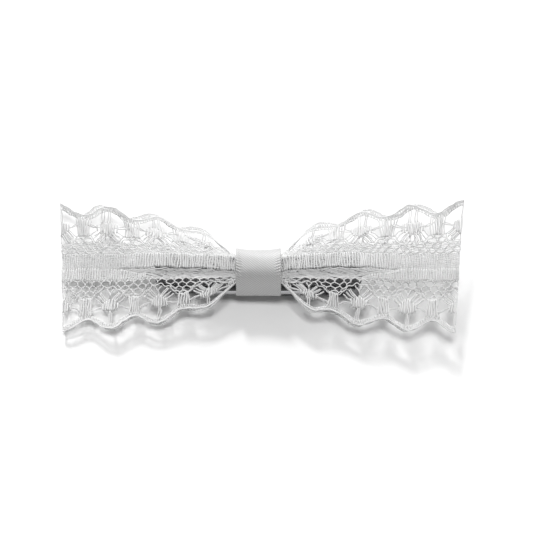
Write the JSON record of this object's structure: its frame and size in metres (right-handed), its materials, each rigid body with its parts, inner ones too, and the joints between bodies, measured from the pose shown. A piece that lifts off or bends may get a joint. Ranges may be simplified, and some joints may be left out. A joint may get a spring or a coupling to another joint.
{
  "type": "hair bow",
  "caption": "Flat bow of white scalloped lace, pinched by a narrow satin band on a steel spring clip whose toothed prong opens to grip hair.",
  "frame": {"origin": "under the middle of the knot, at the height of the closed clip's lowest point, the end of its lower thumb lever", "axes": "+X along the bow towards the clip's thumb levers, +Y across the lace, +Z out through the face of the bow"},
  "size_m": [0.09, 0.0296, 0.0113],
  "materials": {
    "clip_steel": "bright nickel plate, lightly rubbed along its edges",
    "pin_steel": "plain rivet wire",
    "spring_steel": "drawn spring wire",
    "lace": "white polyester thread, open warp-knitted lace",
    "thread": "white sewing thread",
    "hot_melt": "milky hot-melt glue",
    "satin": "white satin ribbon with a soft sheen and woven edges"
  },
  "bodies": {
    "bow": {"clip_top_arm": "clip_steel", "hinge_pin": "pin_steel", "clip_spring": "spring_steel", "lace_strip": "lace", "gather_thread": "thread", "glue_bed": "hot_melt", "knot_band": "satin", "glue_seam": "hot_melt"},
    "prong": {"clip_prong": "clip_steel"}
  },
  "joints": [
    {"name": "jaw_pivot", "type": "hinge", "parent": "bow", "child": "prong", "pos_m": [0.0105, 0, 0.004], "axis": [0, -1, 0], "range_deg": [0, 24], "stiffness_Nm_per_rad": 0.077, "springref_deg": -22.35, "deforming": ["clip_spring"]}
  ]
}
